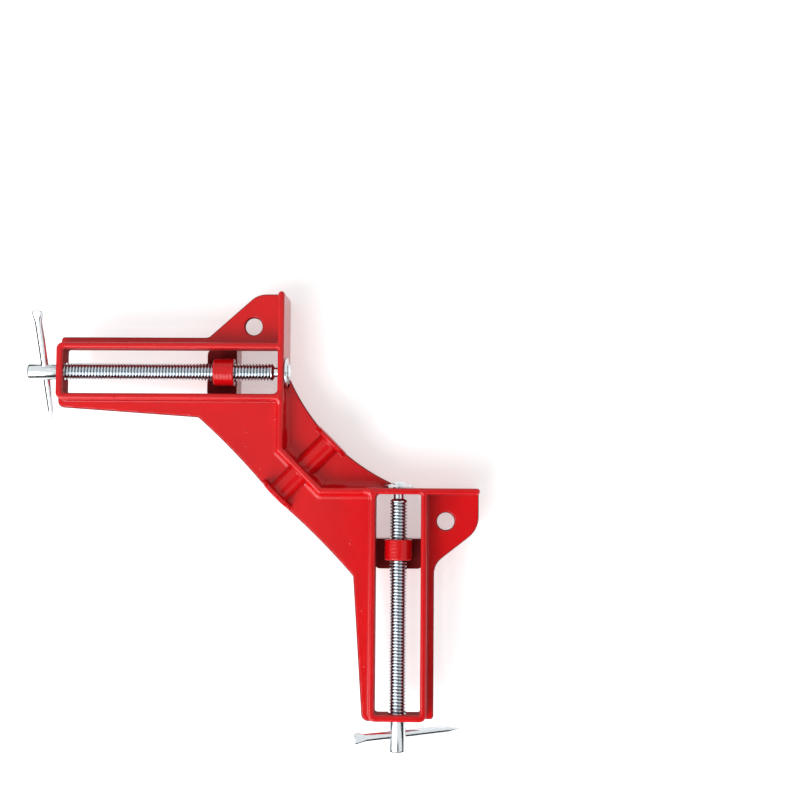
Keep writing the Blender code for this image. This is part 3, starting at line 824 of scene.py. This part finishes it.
@dataclass
class Jaw:
    """One jaw: face plate, slide under the window, gussets and the tapped nut, cast in one."""

    side: Side
    opening: float = 19.9
    width: float = 46.0
    wall: float = 4.0
    toe_radius: float = 3.0
    slide_length: float = 13.4
    slide_width: float = 21.6
    slide_wall: float = 3.2
    slide_radius: float = 2.4
    nut_diameter: float = 12.2
    nut_length: float = 9.2
    gusset_wall: float = 2.4
    gusset_spacing: float = 14.0
    gusset_edge: float = 0.4
    gusset_root: float = 0.6
    gusset_lean: float = 0.7
    edge: float = 0.6
    bore_edge: float = 0.3
    root: float = 0.9
    root_drop: Span = (0.4, 2.0)
    # Drop below the slide's top over which the enamel takes painted shade.
    skirt_drop: Span = (1.2, 0.3)
    ripple: float = 0.02
    ripple_length: float = 1.5

    def __post_init__(self) -> None:
        """Work out the heights from the screw's axis."""
        self.top = LAYOUT.plate_bottom - LAYOUT.gap - LAYOUT.screw_height
        self.floor = -LAYOUT.screw_height

    def distance(self, x: Array, y: Array, z: Array) -> Array:
        """Measure the distance to the jaw in arm coordinates, negative inside it."""
        behind = x + self.opening
        half, radius = self.width / 2, self.toe_radius
        plate = np.maximum(np.abs(y) - half, np.maximum(z - self.top, self.floor - z))
        toe = np.hypot(np.abs(y) - half + radius, z - self.floor - radius) - radius
        lower = (np.abs(y) > half - radius) & (z < self.floor + radius)
        face = slab(np.where(lower, toe, plate), behind, -self.wall, 0.0, self.edge)

        under = fade(z, *(self.top - drop for drop in self.root_drop))
        plan = both(np.abs(y) - self.slide_width / 2, -self.slide_length - behind, self.slide_radius)
        plan = np.maximum(plan, behind + self.wall / 2)
        slide = slab(plan, z, self.top - self.slide_wall, self.top, self.edge)
        body = joined(face, slide, under * self.root)

        phase = math.tau * x / self.ripple_length
        ripple = self.ripple * (np.sin(phase) + 0.6 * np.sin(1.7 * phase + 1.0))
        nut = np.hypot(y, np.maximum(z, 0)) - self.nut_diameter / 2 - ripple
        nut = np.maximum(nut, self.top - self.slide_wall / 2 - z)
        nut = slab(nut, behind, -self.nut_length, 0.0, self.edge)
        body = joined(body, nut, fade(z, self.top - 1.0, self.top) * self.root)

        run = self.slide_length - self.slide_radius
        drop = self.top - self.floor - self.toe_radius
        slope = -(behind / run) + (self.top - z) / drop - 1
        brace = np.maximum(z - self.top + 1, behind + 1)
        brace = np.maximum(slope * min(run, drop) * self.gusset_lean, brace)
        for middle in (-self.gusset_spacing / 2, self.gusset_spacing / 2):
            thick = self.gusset_wall / 2
            gusset = slab(brace, y - middle, -thick, thick, self.gusset_edge)
            body = joined(body, gusset, under * self.gusset_root)
        bore = np.hypot(y, z) - LAYOUT.thread_diameter / 2 - LAYOUT.bore_gap
        return cut(body, bore, self.bore_edge)

    def lines(self) -> list[Array]:
        """List the grid's lines, close together round the nut."""
        back = -self.opening - self.slide_length
        half, nut = self.width / 2, self.nut_diameter / 2
        return [
            grid_lines(((back - 1, 0), (-self.opening + 1, 0.4))),
            grid_lines(((-half - 1, 0), (-half + 2, 0.45), (-nut - 6, 0.9), (nut + 6, 0.4),
                        (half - 2, 0.9), (half + 1, 0.45))),
            grid_lines(((self.floor - 1, 0), (self.floor + 3, 0.45), (self.top - 4, 0.8),
                        (nut + 1, 0.4))),
        ]

    def build(self, paint: Material) -> Object:
        """Mesh the jaw, paint it and let it stand for its node."""
        cast = CastSurface(self.distance, self.lines())
        # Painted shade on the slide's top, which lies in shadow under the window.
        shaded_skirt = fade(cast.points[:, 2], *(self.top - drop for drop in self.skirt_drop))
        made = cast.make_object(f"{self.side.value}_enamelled_jaw", LAYOUT.arm(self.side), shaded_skirt)
        made.data.materials.append(paint)
        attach(made, f"{self.side.value}_slider")
        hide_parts(f"{self.side.value}_jaw")
        report(made)
        return made


def lathe(name: str, profile: Sequence[Span], sides: int, ring: bool = False) -> Mesh:
    """Turn a profile about X.

    Args:
        name: The mesh's name.
        profile: Points of (place along X, radius). A radius of 0 closes the end.
        sides: Facets round the axis.
        ring: Whether the profile closes on itself, as a washer's does.

    Returns:
        The closed mesh, in the profile's own unit.
    """
    verts, rows = [], []
    for along, radius in profile:
        if radius == 0:
            rows.append([len(verts)] * sides)
            verts.append((along, 0.0, 0.0))
            continue
        rows.append(list(range(len(verts), len(verts) + sides)))
        for index in range(sides):
            turn = math.tau * index / sides
            verts.append((along, radius * math.cos(turn), radius * math.sin(turn)))
    pairs = list(zip(rows, rows[1:]))
    if ring:
        pairs.append((rows[-1], rows[0]))
    faces = []
    for first, second in pairs:
        for index in range(sides):
            corners = [first[index - 1], second[index - 1], second[index], first[index]]
            faces.append(list(dict.fromkeys(corners)))
    mesh = bpy.data.meshes.new(name)
    mesh.from_pydata(verts, [], faces)
    mesh.shade_smooth()
    return mesh


def thread_tree() -> Tree:
    """Build the tree that rolls a left-hand thread into a turned blank along X.

    Returns:
        A Geometry Nodes tree. It moves the blank's skin inwards between Start and End, and keeps how
        deep each point lies as the attribute root.
    """
    tree = bpy.data.node_groups.new("Rolled thread", "GeometryNodeTree")
    sockets = [("Geometry", "INPUT", "Geometry")]
    sockets += [(name, "INPUT", "Float") for name in ("Pitch", "Depth", "Start", "End", "Run Out")]
    sockets += [("Material", "INPUT", "Material"), ("Geometry", "OUTPUT", "Geometry")]
    for name, way, kind in sockets:
        tree.interface.new_socket(name, in_out=way, socket_type=f"NodeSocket{kind}")

    given = add_node(tree, "NodeGroupInput").outputs
    place = add_node(tree, "GeometryNodeInputPosition").outputs[0]
    parts = add_node(tree, "ShaderNodeSeparateXYZ", {0: place}).outputs
    calc = partial(total, tree)
    turn = calc("DIVIDE", calc("ARCTAN2", parts[2], parts[1]), math.tau)
    phase = calc("FRACT", calc("ADD", calc("DIVIDE", parts[0], given["Pitch"]), turn))
    wave = calc("ABSOLUTE", calc("MULTIPLY_ADD", phase, 2.0, -1.0))
    root_end, crest_start = 0.16, 0.84
    flank = ramp(tree, wave, root_end, crest_start, 1.0, 0.0)
    from_start = calc("DIVIDE", calc("SUBTRACT", parts[0], given["Start"]), given["Run Out"])
    from_end = calc("DIVIDE", calc("SUBTRACT", given["End"], parts[0]), given["Run Out"])
    reach = add_node(tree, "ShaderNodeClamp", {0: calc("MINIMUM", from_start, from_end)}).outputs[0]
    deep = calc("MULTIPLY", flank, reach)
    kept = add_node(tree, "GeometryNodeStoreNamedAttribute", {
        "Geometry": given["Geometry"], "Name": "root", "Value": deep,
    }, data_type="FLOAT", domain="POINT")
    radial = add_node(tree, "ShaderNodeCombineXYZ", {1: parts[1], 2: parts[2]}).outputs[0]
    outward = add_node(tree, "ShaderNodeVectorMath", {0: radial}, operation="NORMALIZE").outputs[0]
    inward = calc("MULTIPLY", calc("MULTIPLY", deep, given["Depth"]), -1.0)
    move = add_node(tree, "ShaderNodeVectorMath", {0: outward, "Scale": inward}, operation="SCALE")
    rolled = add_node(tree, "GeometryNodeSetPosition", {
        "Geometry": kept.outputs[0], "Offset": move.outputs[0],
    })
    real = add_node(tree, "GeometryNodeRealizeInstances", {0: rolled.outputs[0]})
    dressed = add_node(tree, "GeometryNodeSetMaterial", {
        0: real.outputs[0], "Material": given["Material"],
    })
    add_node(tree, "NodeGroupOutput", {0: dressed.outputs[0]})
    return tree


def run_tree(name: str, blank: Mesh, tree: Tree, inputs: dict) -> Object:
    """Run a Geometry Nodes tree on a mesh and keep the result as a plain object.

    Args:
        name: The new object's name.
        blank: The mesh that the tree starts from.
        tree: The tree.
        inputs: A value for each of the tree's named inputs.

    Returns:
        The object, with no modifier left on it.
    """
    holder = add_object(name + "_blank", blank)
    step = holder.modifiers.new(tree.name, "NODES")
    step.node_group = tree
    for item in tree.interface.items_tree:
        if item.in_out == "INPUT" and item.name in inputs:
            step[item.identifier] = inputs[item.name]
    mesh = plain_mesh(holder)
    bpy.data.objects.remove(holder, do_unlink=True)
    mesh.name = name
    return add_object(name, mesh)


@dataclass
class Screw:
    """One screw: head with its cross hole, left-hand 5/16-18 rolled thread, neck and peened end."""

    side: Side
    tree: Tree
    bar_tilt: float
    pitch: float = 25.4 / 18
    depth: float = 0.87
    thread_start: float = 0.4
    head_chamfer: float = 0.9
    bar_hole: float = 3.8
    shoulder: float = 1.9
    run_out: float = 1.1
    dome_start: float = 0.15
    sides: int = 40
    steps_a_pitch: int = 12
    sharp_angle: float = 50.0

    def profile(self) -> list[Span]:
        """List the blank's outline from the head to the domed, peened end."""
        thread, head = LAYOUT.thread_diameter / 2, LAYOUT.head_diameter / 2
        neck, peen = LAYOUT.neck_diameter / 2, LAYOUT.peen_diameter / 2
        start, chamfer = LAYOUT.head_face, self.head_chamfer
        low = start - LAYOUT.head_length
        peen_start = LAYOUT.fence_wall + LAYOUT.washer_wall + 2 * LAYOUT.gap
        outline = [(low, 0.0), (low, head - chamfer)]
        for turn in np.linspace(0, QUARTER, 5):
            back, out = chamfer * (1 - math.cos(turn)), chamfer * (1 - math.sin(turn))
            outline.append((low + back, head - out))
        outline.append((start, head))
        first, last = start + thread - head, -self.shoulder - self.run_out
        count = round((last - first) / self.pitch * self.steps_a_pitch)
        outline.extend((along, thread) for along in np.linspace(first, last, count))
        outline += [(-self.shoulder, neck), (peen_start, neck), (peen_start, peen)]
        for turn in np.linspace(self.dome_start, QUARTER, 8):
            outline.append((peen_start + LAYOUT.peen_length * math.sin(turn), peen * math.cos(turn)))
        outline[-1] = (outline[-1][0], 0.0)
        return outline

    def build(self, steel: Material) -> Object:
        """Turn the blank, roll its thread and let it stand for its node."""
        name = f"{self.side.value}_threaded_screw"
        made = run_tree(name, lathe(name, self.profile(), self.sides), self.tree, {
            "Pitch": self.pitch, "Depth": self.depth, "Start": LAYOUT.head_face + self.thread_start,
            "End": -self.shoulder - self.run_out, "Run Out": self.run_out, "Material": steel,
        })
        self._drill(made)
        made.data.transform(LAYOUT.arm(self.side))
        made.data.shade_smooth()
        made.data.set_sharp_from_angle(angle=math.radians(self.sharp_angle))
        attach(made, f"{self.side.value}_spindle")
        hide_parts(f"{self.side.value}_screw")
        report(made)
        return made

    def _drill(self, screw: Object) -> None:
        """Cut the cross hole for the handle bar through the head."""
        length, radius = LAYOUT.head_diameter, self.bar_hole / 2
        profile = ((-length, 0.0), (-length, radius), (length, radius), (length, 0.0))
        mesh = lathe("bar_hole", profile, self.sides)
        mesh.transform(LAYOUT.bar_place(self.bar_tilt) @ Matrix.Rotation(QUARTER, 4, "Z"))
        drill = add_object("bar_hole", mesh)
        step = screw.modifiers.new("Bar hole", "BOOLEAN")
        step.object = drill
        step.operation = "DIFFERENCE"
        drilled = plain_mesh(screw)
        screw.modifiers.clear()
        screw.data = drilled
        bpy.data.objects.remove(drill, do_unlink=True)


@dataclass
class Washer:
    """One punched washer between the fence and the screw's peened end."""

    side: Side
    edge: float = 0.3
    sides: int = 64
    sharp_angle: float = 40.0

    def build(self, steel: Material) -> Object:
        """Turn the washer and let it stand for its node."""
        inner = LAYOUT.neck_diameter / 2 + LAYOUT.bore_gap
        outer = LAYOUT.washer_diameter / 2
        low = LAYOUT.fence_wall + LAYOUT.gap
        high, edge = low + LAYOUT.washer_wall, self.edge
        ring = [(low, inner), (low, outer - edge / 2), (low + edge / 2, outer)]
        for turn in np.linspace(0, QUARTER, 5):
            ring.append((high - edge * (1 - math.sin(turn)), outer - edge * (1 - math.cos(turn))))
        ring.append((high, inner))
        name = f"{self.side.value}_punched_washer"
        mesh = lathe(name, ring, self.sides, ring=True)
        mesh.transform(LAYOUT.arm(self.side))
        mesh.set_sharp_from_angle(angle=math.radians(self.sharp_angle))
        made = add_object(name, mesh)
        made.data.materials.append(steel)
        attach(made, f"{self.side.value}_spindle")
        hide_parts(f"{self.side.value}_washer")
        report(made)
        return made


@dataclass
class HandleBar:
    """One sliding bar: round stock with its ends hammered flat, a quarter turn apart."""

    side: Side
    tilt: float
    shift: float
    diameter: float = 3.4
    length: float = 54.5
    paddle_width: float = 4.7
    paddle_wall: float = 1.4
    paddle_length: float = 2.0
    taper: float = 4.0
    tip_rounding: float = 0.5
    least_wall: float = 0.05
    sides: int = 32

    def _section(self, from_tip: float) -> Span:
        """Give the bar's half width and half thickness at a distance from its tip."""
        flat = self.paddle_length
        share = float(fade(np.array(from_tip), flat + self.taper, flat - 1.0))
        stock, tip = self.diameter / 2, self.tip_rounding
        wide = stock + (self.paddle_width / 2 - stock) * share
        thin = stock + (self.paddle_wall / 2 - stock) * share
        if from_tip < tip:
            loss = tip - math.sqrt(max(0.0, tip**2 - (tip - from_tip) ** 2))
            wide, thin = wide - loss, thin - loss
        return wide, max(thin, self.least_wall)

    def mesh(self) -> Mesh:
        """Loft the bar along Z, from its lower tip to its upper one."""
        reach = self.paddle_length + self.taper
        near = [*np.linspace(0, self.tip_rounding, 5), *np.linspace(self.tip_rounding, reach, 14)[1:]]
        half = self.length / 2
        stations = [(-half + place, *self._section(place)[::-1]) for place in near]
        stations += [(half - place, *self._section(place)) for place in reversed(near)]
        verts, faces = [], []
        for place, wide, deep in stations:
            for index in range(self.sides):
                turn = math.tau * index / self.sides
                verts.append((wide * math.cos(turn), deep * math.sin(turn), place + self.shift))
        for row in range(len(stations) - 1):
            for index in range(self.sides):
                a, b = row * self.sides + index, row * self.sides + (index + 1) % self.sides
                faces.append((a, b, b + self.sides, a + self.sides))
        faces.append(tuple(range(self.sides))[::-1])
        faces.append(tuple(range(len(verts) - self.sides, len(verts))))
        name = f"{self.side.value}_steel_bar"
        mesh = bpy.data.meshes.new(name)
        mesh.from_pydata(verts, [], faces)
        mesh.shade_smooth()
        return mesh

    def build(self, steel: Material) -> Object:
        """Place the bar in its screw's head and let it stand for its node."""
        mesh = self.mesh()
        mesh.transform(LAYOUT.arm(self.side) @ LAYOUT.bar_place(self.tilt - QUARTER))
        made = add_object(mesh.name, mesh)
        made.data.materials.append(steel)
        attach(made, f"{self.side.value}_bar")
        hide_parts(f"{self.side.value}_handle_bar")
        report(made)
        return made


@dataclass
class Studio:
    """The camera above the clamp, its white table, the lamps and two flags.

    The flags are what a photographer stands round a shiny thing: the metal and the enamel mirror them,
    and they neither show in the picture nor take light away.
    """

    camera_place: tuple[float, float, float] = (71.046, 2.528, 635.995)
    camera_turn: tuple[float, float, float] = (0.06451, 0.02652, 0.00688)
    lens: float = 61.9
    sensor: float = 36.0
    floor_size: float = 6000.0
    floor_drop: float = 0.4
    floor_colour: str = "#f7f7f7"
    floor_roughness: float = 0.7
    floor_ior: float = 1.3
    floor_glow: float = 0.45
    room_light: float = 0.5
    screen_near: float = -135.0
    screen_far: float = 400.0
    screen_height: float = 44.0
    screen_colour: str = "#1c1c1e"
    canopy: tuple[float, float, float, float] = (-30.0, 500.0, -700.0, 60.0)
    canopy_height: float = 920.0
    canopy_colour: str = "#8a8a8c"

    def build(self) -> None:
        """Set the camera, floor, world, flags and lamps."""
        scene = bpy.context.scene
        scene.view_settings.view_transform = "Standard"
        data = bpy.data.cameras.new("camera")
        data.lens = self.lens
        data.sensor_width = self.sensor
        data.clip_start, data.clip_end = 0.01, 50.0
        camera = add_object("camera", data)
        camera.location = LAYOUT.corner + Vector(self.camera_place) * MM
        camera.rotation_euler = self.camera_turn
        scene.camera = camera
        self._floor()
        self._world()
        self._flags()
        self._lamps()

    def _seen(self, tree: Tree, low: float, high: float) -> Socket:
        """Give rays that show a thing or its mirror image the high value, and the rest the low one."""
        path = add_node(tree, "ShaderNodeLightPath").outputs
        seen = path["Is Camera Ray"]
        for other in ("Is Glossy Ray", "Is Transmission Ray"):
            seen = total(tree, "MAXIMUM", seen, path[other])
        return ramp(tree, seen, 0.0, 1.0, low, high)

    def _floor(self) -> None:
        """Lay the white table under the clamp."""
        place = (0, 0, -self.floor_drop * MM)
        bpy.ops.mesh.primitive_plane_add(size=self.floor_size * MM, location=place)
        floor = bpy.context.object
        floor.name = "table"
        made, tree = empty_material("white_table")
        surface(tree, "ShaderNodeBsdfPrincipled", {
            "Base Color": linear(self.floor_colour), "Roughness": self.floor_roughness,
            "IOR": self.floor_ior, "Emission Color": (1, 1, 1, 1),
            "Emission Strength": self._seen(tree, 0.0, self.floor_glow),
        })
        floor.data.materials.append(made)

    def _world(self) -> None:
        """Give the room an even pale light."""
        world = bpy.data.worlds.new("studio")
        bpy.context.scene.world = world
        world.use_nodes = True
        tree = world.node_tree
        tree.nodes.clear()
        light = add_node(tree, "ShaderNodeBackground", {
            "Color": (1, 1, 1, 1), "Strength": self._seen(tree, self.room_light, 1.0),
        })
        add_node(tree, "ShaderNodeOutputWorld", {0: light.outputs[0]})

    def _flags(self) -> None:
        """Stand the low black screen past the handles and hang the grey canopy over the front arm."""
        near, far = self.screen_near, self.screen_far
        corners = [Vector((x, y, z)) * MM for z in (0.0, self.screen_height)
                   for x, y in ((near, far), (near, near), (far, near))]
        mesh = bpy.data.meshes.new("flag_screen")
        mesh.from_pydata(corners, [], [(0, 1, 4, 3), (1, 2, 5, 4)])
        screen = add_object("flag_screen", mesh)
        left, right, near, far = self.canopy
        middle = Vector(((left + right) / 2, (near + far) / 2, self.canopy_height)) * MM
        bpy.ops.mesh.primitive_plane_add(size=1, location=LAYOUT.corner + middle)
        canopy = bpy.context.object
        canopy.name = "flag_canopy"
        canopy.scale = ((right - left) * MM, (far - near) * MM, 1)
        for flag, colour in ((screen, self.screen_colour), (canopy, self.canopy_colour)):
            made, tree = empty_material(flag.name)
            surface(tree, "ShaderNodeBsdfDiffuse", {"Color": linear(colour)})
            flag.data.materials.append(made)
            flag.visible_camera = flag.visible_diffuse = flag.visible_shadow = False

    def _lamps(self) -> None:
        """Hang the soft lamp over the table, and beside it a small one for the glints."""
        lamps = (
            ("key", (-580, -700, 840), 1200.0, 13.6),
            ("spark", (-520, -600, 900), 90.0, 1.2),
        )
        for name, place, size, power in lamps:
            data = bpy.data.lights.new(name, "AREA")
            data.shape = "DISK"
            data.size = size * MM
            data.energy = power
            lamp = add_object(name, data)
            lamp.location = Vector(place) * MM
            lamp.rotation_euler = (-lamp.location).to_track_quat("-Z", "Y").to_euler()


def report(piece: Object) -> None:
    """Log a finished piece."""
    log.info("%s: %d points, %d faces", piece.name, len(piece.data.vertices), len(piece.data.polygons))


def main() -> None:
    """Build the clamp's looks."""
    logging.basicConfig(level=logging.INFO, format="%(name)s: %(message)s")
    paint = RedEnamel().material()
    steel = ZincPlate().material()
    tree = thread_tree()
    Studio().build()
    Casting().build(paint)
    bars = {Side.LEFT: (31.5, 2.8), Side.FRONT: (34.5, -5.1)}
    for side, (tilt, shift) in bars.items():
        Jaw(side).build(paint)
        Screw(side, tree, math.radians(tilt)).build(steel)
        Washer(side).build(steel)
        HandleBar(side, math.radians(tilt), shift).build(steel)


if __name__ == "__main__":
    main()
